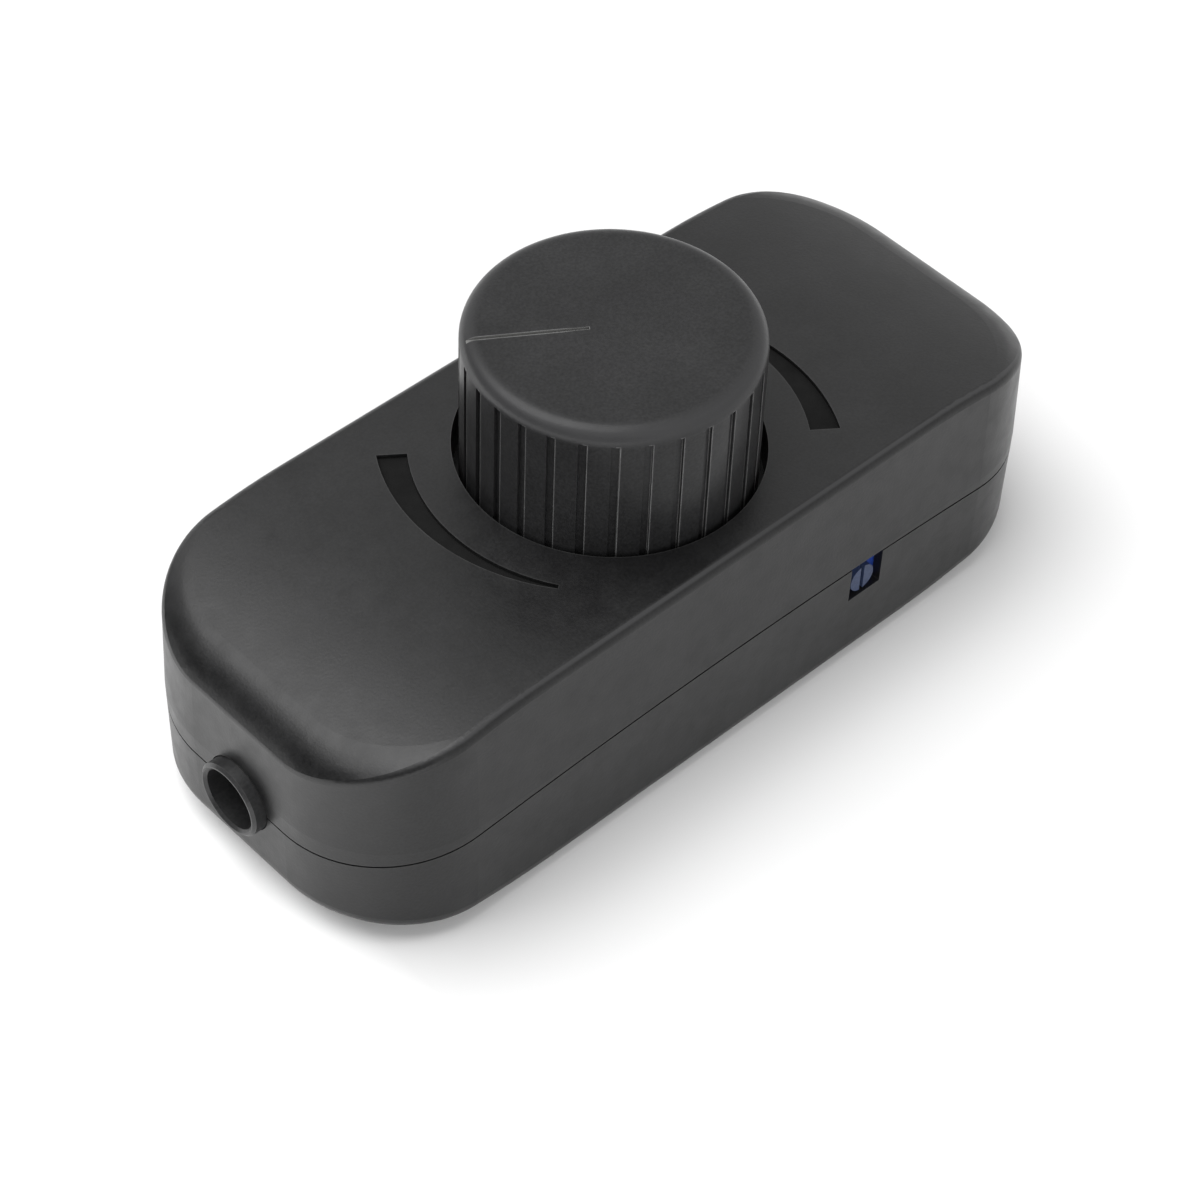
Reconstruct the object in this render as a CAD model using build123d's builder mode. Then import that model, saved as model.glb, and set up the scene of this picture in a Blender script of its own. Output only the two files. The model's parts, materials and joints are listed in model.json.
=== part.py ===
"""In-line rotary dimmer switch for a lamp cable, millimetres, +Z up.

The origin is the middle of the face that the switch rests on. X runs along the length, the
trimmer window is in the -Y side, and the knob turns about the Z axis.
"""

import os
from math import cos, radians, sin, sqrt

from build123d import *

# Housing, seen from above
body_length = 97.0
body_width = 40.1
corner_radius = 13.3
wall = 2.0

# Housing, seen from the side
body_height = 28.1
parting_height = 14.3
parting_droop = 2.3
top_flat_length = 53.0
end_droop = 3.9
foot_length = 48.0
end_rise = 3.4
upper_draft = 1.8
lower_draft = 0.9
bottom_edge_radius = 2.2

# Soft roll-over of the top, wide at the ends and tight along the sides
roll_radius = 6.5
roll_overhang = 0.4
crown_corner_radius = 19.5
crease_radius = 1.0

# Tongue that lines up the two covers
tongue_thickness = 0.9
tongue_height = 1.2

# Fine groove where the two covers meet
seam_depth = 0.25
seam_width = 0.25

# Ways to place a piece by its lower or upper face
ALIGN_BASE = (Align.CENTER, Align.CENTER, Align.MIN)
ALIGN_TOP = (Align.CENTER, Align.CENTER, Align.MAX)

# Clearances
fit_gap = 0.1
running_gap = 0.05
inner_gap = 0.3

# Knob and its pocket
knob_radius = 15.12
knob_height = 20.4
knob_edge_radius = 1.66
knob_wall = 2.2
knob_roof = 2.5
groove_count = 30
groove_width = 0.85
groove_depth = 0.4
groove_phase = 9.0
pointer_angle = 146.5
pointer_start = 2.5
pointer_width = 0.4
pointer_depth = 0.3
hub_radius = 4.8
hub_lift = 4.9
rib_count = 4
rib_thickness = 1.2
pocket_gap = 0.78
pocket_depth = 5.2
pocket_wall = 2.4
knob_floor_gap = 0.6

# Tapered arc marks beside the pocket
mark_inner_radius = 20.3
mark_wide = 3.1
mark_thin = 0.5
mark_start = 143.4
mark_end = 213.0
mark_depth = 0.5

# Potentiometer
shaft_radius = 3.0
shaft_flat_depth = 0.8
shaft_in_knob = 11.0
bushing_radius = 3.5
bushing_stand = 5.0
bushing_flange_radius = 4.5
bushing_flange = 0.8
case_radius = 8.3
case_wall = 0.8
pot_depth = 4.2
plate_thickness = 0.8
track_width = 2.7
track_thickness = 0.6
wiper_thickness = 1.5
wiper_contact_radius = 0.6
tongue_reach = 9.8
tongue_width = 8.0
pot_pitch = 3.0

# Rotary on and off switch under the potentiometer
switch_depth = 5.0
cam_radius = 5.2
cam_lobe_radius = 6.6
cam_thickness = 2.0
contact_height = 2.8
contact_width = 4.8
switch_pitch = 5.0

# Nut and washer on the threaded bushing
washer_radius = 5.5
washer_thickness = 0.8
nut_across_flats = 10.0
nut_thickness = 2.2
nut_chamfer = 0.4

# Cable bushings
bore_radius = 3.4
bushing_neck_radius = 4.15
collar_reach = 1.5
collar_chamfer = 0.3
grommet_flange_radius = 6.2
grommet_flange = 1.5

# Screws that close the housing
boss_end_distance = 11.0
upper_boss_radius = 3.4
pillar_radius = 4.2
well_radius = 3.2
well_depth = 6.0
screw_head_radius = 2.8
screw_head_height = 1.8
screw_radius = 1.45
screw_length = 12.0
screw_tip = 1.6
recess_width = 0.8
recess_length = 3.2
recess_depth = 1.0

# Cable clamps
clamp_end_distance = 9.5
clamp_width = 5.0
clamp_post_radius = 2.2
clamp_end = 1.5
clamp_shoulder = 2.0
clamp_wall = 1.0
clamp_screw_radius = 1.0
clamp_screw_length = 8.0
clamp_head_radius = 1.7
clamp_head_height = 1.4
saddle_thickness = 3.0

# Circuit board
board_end_gap = 1.8
board_side_gap = 2.05
board_thickness = 1.6
board_height = 5.0
post_end_distance = 2.5
post_edge_distance = 2.8
post_radius = 1.9
pin_radius = 0.9
lead_radius = 0.4
lead_tail = 0.9
lead_edge_distance = 1.0

# Trimmer and its window
window_x = 18.2
window_width = 4.6
window_height = 5.0
window_wall = 1.1
trimmer_x = 18.0
trimmer_width = 6.6
trimmer_depth = 4.9
trimmer_pitch = 2.0
rotor_lift = 1.9
rotor_radius = 1.65
rotor_length = 2.4
rotor_stand = 0.85
slot_width = 0.5
slot_depth = 0.6

# Terminal blocks
terminal_end_distance = 5.5
terminal_length = 8.0
terminal_width = 10.4
terminal_height = 9.0
terminal_pitch = 5.2
entry_radius = 1.6
entry_depth = 6.0
entry_lift = 3.0
terminal_screw_radius = 1.6
terminal_screw_length = 2.8
terminal_screw_sink = 1.0

# Triac on its heat sink
triac_end_distance = 9.0
triac_width = 10.0
triac_thickness = 4.2
triac_body = 9.0
triac_tab = 6.4
tab_thickness = 1.3
triac_lift = 1.0
triac_pitch = 2.54
sink_length = 14.0
sink_height = 15.6
sink_thickness = 1.2
sink_screw_radius = 1.5
sink_screw_head_radius = 2.7
sink_screw_head = 1.8

# Other components on the board
film_end_distance = 11.0
film_edge_distance = 3.5
film_length = 13.0
film_width = 5.0
film_height = 11.0
film_pitch = 10.0
can_x = -9.5
can_edge_distance = 4.0
can_radius = 3.9
can_height = 11.0
can_chamfer = 0.5
can_pitch = 3.5
fuse_x = 9.5
fuse_edge_distance = 4.1
fuse_radius = 3.9
fuse_height = 7.5
fuse_pitch = 5.08
choke_x = -18.5
choke_edge_distance = 5.0
choke_radius = 4.4
choke_height = 7.5
choke_flange = 1.2
choke_core_radius = 2.2
choke_pitch = 6.0
winding_radius = 4.0
resistor_edge_distance = 3.5
resistor_pitch = 2.5
resistor_length = 6.3
resistor_radius = 1.15
resistor_span = 9.6
diac_x = 9.0
diac_edge_distance = 3.2
diac_length = 4.0
diac_radius = 0.95
diac_span = 6.0

# Sizes that follow from the ones above
half_length = body_length / 2
pocket_floor = body_height - pocket_depth
pocket_radius = knob_radius + pocket_gap
knob_bottom = pocket_floor + knob_floor_gap
knob_top = knob_bottom + knob_height
knob_ceiling = knob_top - knob_roof
hub_bottom = knob_bottom + hub_lift
pot_top = pocket_floor - wall
pot_bottom = pot_top - pot_depth
plate_bottom = pot_bottom - plate_thickness
switch_bottom = plate_bottom - switch_depth
case_inner_radius = case_radius - case_wall
track_bottom = pot_top - case_wall - track_thickness
wiper_top = pot_top - case_wall - bushing_flange - inner_gap
wiper_radius = case_inner_radius - inner_gap
shaft_bottom = switch_bottom + case_wall + inner_gap
cam_bottom = shaft_bottom + inner_gap
board_top = board_height + board_thickness
boss_x = half_length - boss_end_distance
clamp_x = half_length - clamp_end_distance
board_end = boss_x - pillar_radius - board_end_gap
board_edge = body_width / 2 - wall - board_side_gap
window_face = -(body_width / 2 - window_wall)
window_sill = parting_height - window_height
trimmer_face = window_face + fit_gap
trimmer_axis_height = window_sill + rotor_lift


def arc_drop(distance, reach, depth):
    """Fall of an arc that leaves a flat tangentially and is depth lower after reach."""
    radius = (reach**2 + depth**2) / (2 * depth)
    return radius - sqrt(radius**2 - max(distance, 0) ** 2)


def parting_at(x):
    return parting_height - arc_drop(abs(x), half_length, parting_droop)


def ceiling_at(x):
    flat = top_flat_length / 2
    return body_height - wall - arc_drop(abs(x) - flat, half_length - flat, end_droop)


def polar(angle, radius):
    return (radius * cos(radians(angle)), radius * sin(radians(angle)))


inlet_height = parting_at(half_length)
clamp_seat = inlet_height - fit_gap
clamp_post_y = bore_radius + clamp_wall + clamp_head_radius
boss_y = clamp_post_y + clamp_end + pillar_radius + 2 * fit_gap
post_x = board_end - post_end_distance
post_y = board_edge - post_edge_distance
terminal_x = board_end - terminal_end_distance
triac_x = board_end - triac_end_distance
film_x = film_end_distance - board_end
trimmer_height = parting_at(trimmer_x + trimmer_width / 2) - board_top - fit_gap
screw_seat = board_top + terminal_height - terminal_screw_sink - terminal_screw_length
tab_axis_height = board_top + triac_lift + triac_body + triac_tab / 2
boss_points = [(x, y) for x in (-boss_x, boss_x) for y in (-boss_y, boss_y)]
post_points = [(x, y) for x in (-post_x, post_x) for y in (-post_y, post_y)]
clamp_points = [(x, y) for x in (-clamp_x, clamp_x) for y in (-clamp_post_y, clamp_post_y)]
terminal_points = [
    (x, y) for x in (-terminal_x, terminal_x) for y in (-terminal_pitch / 2, terminal_pitch / 2)
]

# Where each component's leads pass through the board
pot_leads = [(i * pot_pitch, lead_edge_distance - tongue_reach) for i in (-1, 0, 1)]
switch_leads = [(i * switch_pitch / 2, tongue_reach - lead_edge_distance) for i in (-1, 1)]
triac_y = board_edge - sink_thickness - fit_gap
triac_leads = [(triac_x + i * triac_pitch, triac_y - triac_thickness / 2) for i in (-1, 0, 1)]
film_y = board_edge - film_edge_distance
film_leads = [(film_x + i * film_pitch / 2, film_y) for i in (-1, 1)]
can_y = can_edge_distance - board_edge
can_leads = [(can_x + i * can_pitch / 2, can_y) for i in (-1, 1)]
fuse_y = fuse_edge_distance - board_edge
fuse_leads = [(fuse_x + i * fuse_pitch / 2, fuse_y) for i in (-1, 1)]
choke_y = choke_edge_distance - board_edge
choke_leads = [(choke_x + i * choke_pitch / 2, choke_y) for i in (-1, 1)]
trimmer_leads = [
    (trimmer_x + i * trimmer_pitch, lead_edge_distance - board_edge) for i in (-1, 0, 1)
]
resistor_y = board_edge - resistor_edge_distance
resistor_leads = [
    (i * resistor_span / 2, resistor_y + j * resistor_pitch) for i in (-1, 1) for j in (0, 1)
]
diac_y = board_edge - diac_edge_distance
diac_leads = [(diac_x + i * diac_span / 2, diac_y) for i in (-1, 1)]
all_leads = (
    pot_leads
    + switch_leads
    + triac_leads
    + film_leads
    + can_leads
    + fuse_leads
    + choke_leads
    + trimmer_leads
    + resistor_leads
    + diac_leads
    + terminal_points
)


def side_block(inset):
    """Side view of the housing, flat in the middle and falling to the ends, made solid."""
    end = half_length + roll_overhang
    top = body_height - inset
    foot = inset
    with BuildPart() as block:
        with BuildSketch(Plane.XZ):
            with BuildLine():
                Line((0, top), (top_flat_length / 2, top))
                TangentArc((top_flat_length / 2, top), (end, top - end_droop), tangent=(1, 0))
                Line((end, top - end_droop), (end, foot + end_rise))
                TangentArc((foot_length / 2, foot), (end, foot + end_rise), tangent=(1, 0))
                Line((foot_length / 2, foot), (0, foot))
                mirror(about=Plane.YZ)
            make_face()
        extrude(amount=body_width, both=True)
    return block.part


def crown_form(inset, rolled):
    """Pillow whose edge rolls over, or is bevelled, along the ends and corners of the top."""
    roll = roll_radius - inset
    with BuildPart() as crown:
        add(side_block(inset))
        with BuildSketch(Plane.XY):
            RectangleRounded(
                body_length + 2 * (roll_overhang - inset),
                body_width + 2 * roll_radius,
                crown_corner_radius - inset,
            )
        extrude(amount=body_height, mode=Mode.INTERSECT)
        seam = top_flat_length / 2
        rim = crown.edges().filter_by(
            lambda e: e.center().Z > body_height - end_droop - inset - roll / 2
            and abs(abs(e.center().X) - seam) > fit_gap
        )
        if rolled:
            fillet(rim, radius=roll)
        else:
            chamfer(rim, length=roll * (2 - sqrt(2)))
    return crown.part


def housing_form(inset, rolled=False):
    """Closed outer form of the housing, moved inwards by inset."""
    with BuildPart() as form:
        with BuildSketch(Plane.XY.offset(parting_height)) as plan:
            RectangleRounded(body_length - 2 * inset, body_width - 2 * inset, corner_radius - inset)
        extrude(plan.sketch, amount=body_height - parting_height, taper=upper_draft)
        extrude(plan.sketch, amount=parting_height, dir=(0, 0, -1), taper=lower_draft)
        add(crown_form(inset, rolled), mode=Mode.INTERSECT)
    return form.part


def above_parting(lift):
    """Everything above the arched parting surface, raised by lift."""
    reach = body_length
    end = parting_at(half_length) + lift
    with BuildPart() as block:
        with BuildSketch(Plane.XZ):
            with BuildLine():
                arc = ThreePointArc(
                    (-half_length, end), (0, parting_height + lift), (half_length, end)
                )
                Polyline(
                    arc @ 1,
                    (reach, end),
                    (reach, 2 * body_height),
                    (-reach, 2 * body_height),
                    (-reach, end),
                    arc @ 0,
                )
            make_face()
        extrude(amount=body_width, both=True)
    return block.part


def wall_top_edges(form):
    """Edges where the top of the housing meets its walls."""
    walls = form.faces().filter_by(lambda f: abs(f.normal_at().Z) < 0.1)
    return walls.edges().filter_by(
        lambda e: e.center().Z > parting_height + wall and abs(e.tangent_at(0.5).Z) < 0.7
    )


def lower_rim_edges(form):
    walls = form.faces().filter_by(lambda f: abs(f.normal_at().Z) < 0.1)
    return walls.edges().filter_by(
        lambda e: e.center().Z < end_rise + wall and abs(e.tangent_at(0.5).Z) < 0.7
    )


with BuildPart() as outer_form:
    add(housing_form(0, rolled=True))
    fillet(wall_top_edges(outer_form), radius=crease_radius)
    fillet(lower_rim_edges(outer_form), radius=bottom_edge_radius)

inner_form = housing_form(wall)
upper_half = above_parting(0)


def tongue_band(inset, height):
    """Ring along the inside of the wall, standing height above the parting surface."""
    with BuildPart() as band:
        add(housing_form(inset))
        add(inner_form, mode=Mode.SUBTRACT)
        add(upper_half, mode=Mode.INTERSECT)
        add(above_parting(height), mode=Mode.SUBTRACT)
    return band.part


def mark_outline(turn):
    """Outline of one arc mark, wide at its start and thin at its end."""
    middle = (mark_start + mark_end) / 2 + turn
    start = mark_start + turn
    end = mark_end + turn
    wide = mark_inner_radius + mark_wide
    thin = mark_inner_radius + mark_thin
    with BuildLine() as outline:
        inner = ThreePointArc(
            polar(start, mark_inner_radius),
            polar(middle, mark_inner_radius),
            polar(end, mark_inner_radius),
        )
        outer = ThreePointArc(polar(end, thin), polar(middle, (wide + thin) / 2), polar(start, wide))
        Line(inner @ 1, outer @ 0)
        Line(outer @ 1, inner @ 0)
    return outline.edges()


def add_leads(points, top):
    """Round leads from top down through the board."""
    tail = board_height - lead_tail
    with Locations(*[(x, y, tail) for x, y in points]):
        Cylinder(lead_radius, top - tail, align=ALIGN_BASE)


tongue = tongue_band(wall - tongue_thickness, tongue_height)
tongue_slot = tongue_band(wall - tongue_thickness - fit_gap, tongue_height + fit_gap)

with BuildPart() as seam:
    add(outer_form.part)
    add(housing_form(seam_depth), mode=Mode.SUBTRACT)
    add(above_parting(-seam_width / 2), mode=Mode.INTERSECT)
    add(above_parting(seam_width / 2), mode=Mode.SUBTRACT)

with BuildPart() as tip:
    with BuildSketch(Plane.XY.offset(hub_bottom)):
        Circle(shaft_radius)
        with Locations((shaft_radius, 0)):
            Rectangle(2 * shaft_flat_depth, body_width, mode=Mode.SUBTRACT)
    extrude(amount=shaft_in_knob)
shaft_tip = tip.part

os.makedirs("parts", exist_ok=True)


# Upper cover
with BuildPart() as upper_cover:
    add(outer_form.part)
    add(inner_form, mode=Mode.SUBTRACT)
    with Locations((0, 0, pot_top)):
        Cylinder(pocket_radius + pocket_wall, pocket_depth + wall / 2, align=ALIGN_BASE)
    for x, y in boss_points:
        boss_top = ceiling_at(x) + wall / 2
        with Locations((x, y, parting_height - parting_droop)):
            Cylinder(
                upper_boss_radius,
                boss_top - parting_height + parting_droop,
                align=ALIGN_BASE,
            )
    add(upper_half, mode=Mode.INTERSECT)
    with Locations((0, 0, pocket_floor)):
        Cylinder(pocket_radius, pocket_depth + wall, align=ALIGN_BASE, mode=Mode.SUBTRACT)
    with Locations((0, 0, pot_top - wall / 2)):
        Cylinder(bushing_radius + fit_gap, 2 * wall, align=ALIGN_BASE, mode=Mode.SUBTRACT)
    with Locations(*[(x, y, well_depth) for x, y in boss_points]):
        Cylinder(screw_radius, screw_length + screw_tip, align=ALIGN_BASE, mode=Mode.SUBTRACT)
    add(tongue_slot, mode=Mode.SUBTRACT)
    add(seam.part, mode=Mode.SUBTRACT)
    for side in (-1, 1):
        with Locations(Plane.YZ.offset(side * half_length)):
            with Locations((0, inlet_height, 0)):
                Cylinder(bushing_neck_radius + fit_gap, 4 * wall, mode=Mode.SUBTRACT)
    with BuildSketch(Plane.XY.offset(body_height)):
        for turn in (0, 180):
            make_face(mark_outline(turn))
    extrude(amount=-mark_depth, mode=Mode.SUBTRACT)
upper_cover.part.label = "upper_cover"

# Lower cover
with BuildPart() as lower_cover:
    add(outer_form.part)
    add(inner_form, mode=Mode.SUBTRACT)
    with Locations(*[(x, y, wall) for x, y in boss_points]):
        Cylinder(pillar_radius, parting_height, align=ALIGN_BASE)
    with Locations(*[(x, y, wall / 2) for x, y in post_points]):
        Cylinder(post_radius, board_height - wall / 2, align=ALIGN_BASE)
        Cylinder(pin_radius, board_top + board_thickness / 2 - wall / 2, align=ALIGN_BASE)
    with Locations(*[(x, y, wall) for x, y in clamp_points]):
        Cylinder(clamp_post_radius, clamp_seat - wall, align=ALIGN_BASE)
    with Locations(*[(x, 0, wall) for x in (-clamp_x, clamp_x)]):
        Box(
            saddle_thickness,
            2 * clamp_post_y,
            inlet_height - bore_radius - wall,
            align=ALIGN_BASE,
        )
    add(upper_half, mode=Mode.SUBTRACT)
    add(seam.part, mode=Mode.SUBTRACT)
    add(tongue)
    with Locations(*[(x, y, -wall) for x, y in boss_points]):
        Cylinder(well_radius, well_depth + wall, align=ALIGN_BASE, mode=Mode.SUBTRACT)
        Cylinder(screw_radius + fit_gap, body_height, align=ALIGN_BASE, mode=Mode.SUBTRACT)
    with Locations(*[(x, y, clamp_seat) for x, y in clamp_points]):
        Cylinder(clamp_screw_radius, clamp_screw_length, align=ALIGN_TOP, mode=Mode.SUBTRACT)
    for side in (-1, 1):
        with Locations(Plane.YZ.offset(side * half_length)):
            with Locations((0, inlet_height, 0)):
                Cylinder(bushing_neck_radius + fit_gap, 4 * wall, mode=Mode.SUBTRACT)
    with Locations((window_x, -body_width / 2, window_sill)):
        Box(window_width, 3 * wall, 2 * window_height, align=ALIGN_BASE, mode=Mode.SUBTRACT)
    with Locations((trimmer_x, window_face, board_top - fit_gap)):
        Box(
            trimmer_width + 2 * fit_gap,
            2 * wall,
            body_height,
            align=(Align.CENTER, Align.MIN, Align.MIN),
            mode=Mode.SUBTRACT,
        )
lower_cover.part.label = "lower_cover"

# Screws that close the housing from below
with BuildPart() as housing_screws:
    with Locations(*[(x, y, well_depth) for x, y in boss_points]):
        Cylinder(screw_radius, screw_length - screw_tip, align=ALIGN_BASE)
        Cylinder(screw_head_radius, screw_head_height, align=ALIGN_TOP)
    with Locations(*[(x, y, well_depth + screw_length - screw_tip) for x, y in boss_points]):
        Cone(screw_radius, screw_radius / 4, screw_tip, align=ALIGN_BASE)
    with Locations(*[(x, y, well_depth - screw_head_height) for x, y in boss_points]):
        Box(recess_length, recess_width, recess_depth, align=ALIGN_BASE, mode=Mode.SUBTRACT)
        Box(recess_width, recess_length, recess_depth, align=ALIGN_BASE, mode=Mode.SUBTRACT)
housing_screws.part.label = "housing_screws"


def cable_bushing(side):
    """Round collar clamped between the covers, its flange inside the end wall."""
    flange_face = half_length - wall - inner_gap
    with BuildPart() as bushing:
        with BuildSketch(Plane.XZ):
            with BuildLine():
                Polyline(
                    (flange_face - grommet_flange, bore_radius),
                    (half_length + collar_reach, bore_radius),
                    (half_length + collar_reach, bushing_neck_radius),
                    (flange_face, bushing_neck_radius),
                    (flange_face, grommet_flange_radius),
                    (flange_face - grommet_flange, grommet_flange_radius),
                    close=True,
                )
            make_face()
        revolve(axis=Axis.X)
        rim = bushing.edges().filter_by(GeomType.CIRCLE).group_by(Axis.X)[-1]
        chamfer(rim, length=collar_chamfer)
    placed = bushing.part.moved(Location((0, 0, inlet_height)))
    return placed if side > 0 else placed.rotate(Axis.Z, 180)


# Cable clamps
def cable_clamp(side):
    """Saddle bar with a shoulder for a screw at each end of its arch."""
    with BuildPart() as clamp:
        with BuildSketch(Plane.YZ.offset(side * clamp_x - clamp_width / 2)):
            with Locations((0, clamp_seat + clamp_shoulder / 2)):
                Rectangle(2 * (clamp_post_y + clamp_end), clamp_shoulder)
            with Locations((0, inlet_height)):
                Circle(bore_radius + clamp_wall)
                Circle(bore_radius, mode=Mode.SUBTRACT)
            with Locations((0, clamp_seat)):
                Rectangle(
                    body_width, body_height, align=(Align.CENTER, Align.MAX), mode=Mode.SUBTRACT
                )
        extrude(amount=clamp_width)
        with Locations(*[(side * clamp_x, y, clamp_seat) for y in (-clamp_post_y, clamp_post_y)]):
            Cylinder(
                clamp_screw_radius + fit_gap, body_height, align=ALIGN_BASE, mode=Mode.SUBTRACT
            )
    return clamp.part


with BuildPart() as clamp_screws:
    with Locations(*[(x, y, clamp_seat + clamp_shoulder) for x, y in clamp_points]):
        Cylinder(clamp_screw_radius, clamp_screw_length, align=ALIGN_TOP)
        Cylinder(clamp_head_radius, clamp_head_height, align=ALIGN_BASE)
clamp_screws.part.label = "clamp_screws"

# Knob
with BuildPart() as knob:
    with Locations((0, 0, knob_bottom)):
        Cylinder(knob_radius, knob_height, align=ALIGN_BASE)
    fillet(knob.edges().group_by(Axis.Z)[-1], radius=knob_edge_radius)
    with Locations((0, 0, knob_bottom)):
        Cylinder(
            knob_radius - knob_wall,
            knob_height - knob_roof,
            align=ALIGN_BASE,
            mode=Mode.SUBTRACT,
        )
    with Locations((0, 0, hub_bottom)):
        Cylinder(hub_radius, knob_ceiling - hub_bottom, align=ALIGN_BASE)
    with PolarLocations(0, rib_count):
        with Locations((hub_radius - rib_thickness / 2, 0, hub_bottom + hub_radius)):
            Box(
                knob_radius - knob_wall - hub_radius + rib_thickness,
                rib_thickness,
                knob_ceiling - hub_bottom - hub_radius,
                align=(Align.MIN, Align.CENTER, Align.MIN),
            )
    add(shaft_tip, mode=Mode.SUBTRACT)
    with BuildSketch(Plane.XY.offset(knob_bottom)):
        with PolarLocations(knob_radius, groove_count, start_angle=pointer_angle + groove_phase):
            Rectangle(2 * groove_depth, groove_width)
    extrude(amount=knob_height - knob_edge_radius, mode=Mode.SUBTRACT)
    with BuildSketch(Plane.XY.offset(knob_top)):
        with PolarLocations(0, 1, start_angle=pointer_angle):
            with Locations((pointer_start, 0)):
                Rectangle(knob_radius, pointer_width, align=(Align.MIN, Align.CENTER))
    extrude(amount=-pointer_depth, mode=Mode.SUBTRACT)
knob.part.label = "knob"

# Potentiometer shaft, with its flat in the knob
with BuildPart() as pot_shaft:
    with Locations((0, 0, shaft_bottom)):
        Cylinder(shaft_radius, hub_bottom - shaft_bottom, align=ALIGN_BASE)
    add(shaft_tip)
pot_shaft.part.label = "pot_shaft"

with BuildPart() as threaded_bushing:
    with Locations((0, 0, pot_top - case_wall)):
        Cylinder(bushing_radius, case_wall + wall + bushing_stand, align=ALIGN_BASE)
        Cylinder(bushing_flange_radius, bushing_flange, align=ALIGN_TOP)
        Cylinder(shaft_radius + running_gap, body_width, mode=Mode.SUBTRACT)
threaded_bushing.part.label = "threaded_bushing"

with BuildPart() as flat_washer:
    with Locations((0, 0, pocket_floor)):
        Cylinder(washer_radius, washer_thickness, align=ALIGN_BASE)
        Cylinder(bushing_radius + fit_gap, body_width, mode=Mode.SUBTRACT)
flat_washer.part.label = "flat_washer"

with BuildPart() as hex_nut:
    with BuildSketch(Plane.XY.offset(pocket_floor + washer_thickness)):
        RegularPolygon(nut_across_flats / 2, 6, major_radius=False)
        Circle(bushing_radius, mode=Mode.SUBTRACT)
    extrude(amount=nut_thickness)
    with BuildSketch(Plane.XY.offset(pocket_floor + washer_thickness)):
        Circle(nut_across_flats / 2 + nut_chamfer)
    extrude(amount=nut_thickness, mode=Mode.INTERSECT)
hex_nut.part.label = "hex_nut"

with BuildPart() as pot_case:
    with Locations((0, 0, pot_bottom)):
        Cylinder(case_radius, pot_depth, align=ALIGN_BASE)
        Cylinder(case_inner_radius, pot_depth - case_wall, align=ALIGN_BASE, mode=Mode.SUBTRACT)
        Cylinder(bushing_radius, 2 * pot_depth, align=ALIGN_BASE, mode=Mode.SUBTRACT)
pot_case.part.label = "pot_case"

with BuildPart() as resistance_track:
    with BuildSketch(Plane.XY.offset(track_bottom)):
        Circle(case_inner_radius)
        Circle(case_inner_radius - track_width, mode=Mode.SUBTRACT)
        Rectangle(
            track_width, body_width, align=(Align.CENTER, Align.MAX), mode=Mode.SUBTRACT
        )
    extrude(amount=track_thickness)
resistance_track.part.label = "resistance_track"

with BuildPart() as wiper_rotor:
    with Locations((0, 0, wiper_top)):
        Cylinder(wiper_radius, wiper_thickness, align=ALIGN_TOP)
        Cylinder(shaft_radius, body_width, mode=Mode.SUBTRACT)
    with BuildSketch(Plane.XY.offset(wiper_top)):
        with PolarLocations(case_inner_radius - track_width / 2, 2, start_angle=pointer_angle):
            Circle(wiper_contact_radius)
    extrude(amount=track_bottom - wiper_top - inner_gap / 2)
wiper_rotor.part.label = "wiper_rotor"

with BuildPart() as terminal_plate:
    with Locations((0, 0, plate_bottom)):
        Cylinder(case_radius, plate_thickness, align=ALIGN_BASE)
        Box(tongue_width, 2 * tongue_reach, plate_thickness, align=ALIGN_BASE)
        Cylinder(shaft_radius + inner_gap, body_width, mode=Mode.SUBTRACT)
terminal_plate.part.label = "terminal_plate"

with BuildPart() as pot_terminals:
    with Locations(*[(x, y, plate_bottom) for x, y in pot_leads + switch_leads]):
        Cylinder(lead_radius, plate_bottom - board_height + lead_tail, align=ALIGN_TOP)
pot_terminals.part.label = "pot_terminals"

# Rotary switch under the potentiometer
with BuildPart() as switch_case:
    with Locations((0, 0, switch_bottom)):
        Cylinder(case_radius, switch_depth, align=ALIGN_BASE)
    with Locations((0, 0, switch_bottom + case_wall)):
        Cylinder(case_inner_radius, switch_depth, align=ALIGN_BASE, mode=Mode.SUBTRACT)
switch_case.part.label = "switch_case"

with BuildPart() as switch_cam:
    with BuildSketch(Plane.XY.offset(cam_bottom)):
        Circle(cam_radius)
        with PolarLocations(0, 1, start_angle=pointer_angle):
            Rectangle(cam_lobe_radius, cam_thickness, align=(Align.MIN, Align.CENTER))
        Circle(shaft_radius, mode=Mode.SUBTRACT)
    extrude(amount=cam_thickness)
switch_cam.part.label = "switch_cam"

with BuildPart() as switch_contacts:
    with BuildSketch(Plane.XY.offset(switch_bottom + case_wall)):
        Circle(case_inner_radius)
        Circle(cam_lobe_radius + inner_gap, mode=Mode.SUBTRACT)
        Rectangle(body_width, contact_width, mode=Mode.INTERSECT)
    extrude(amount=contact_height)
switch_contacts.part.label = "switch_contacts"

# Circuit board
with BuildPart() as circuit_board:
    with Locations((0, 0, board_height)):
        Box(2 * board_end, 2 * board_edge, board_thickness, align=ALIGN_BASE)
    with Locations(*[(x, y, board_height) for x, y in post_points]):
        Cylinder(pin_radius + fit_gap, body_height, mode=Mode.SUBTRACT)
    with Locations(*[(x, y, board_height) for x, y in all_leads]):
        Cylinder(lead_radius, body_height, mode=Mode.SUBTRACT)
circuit_board.part.label = "circuit_board"

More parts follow.
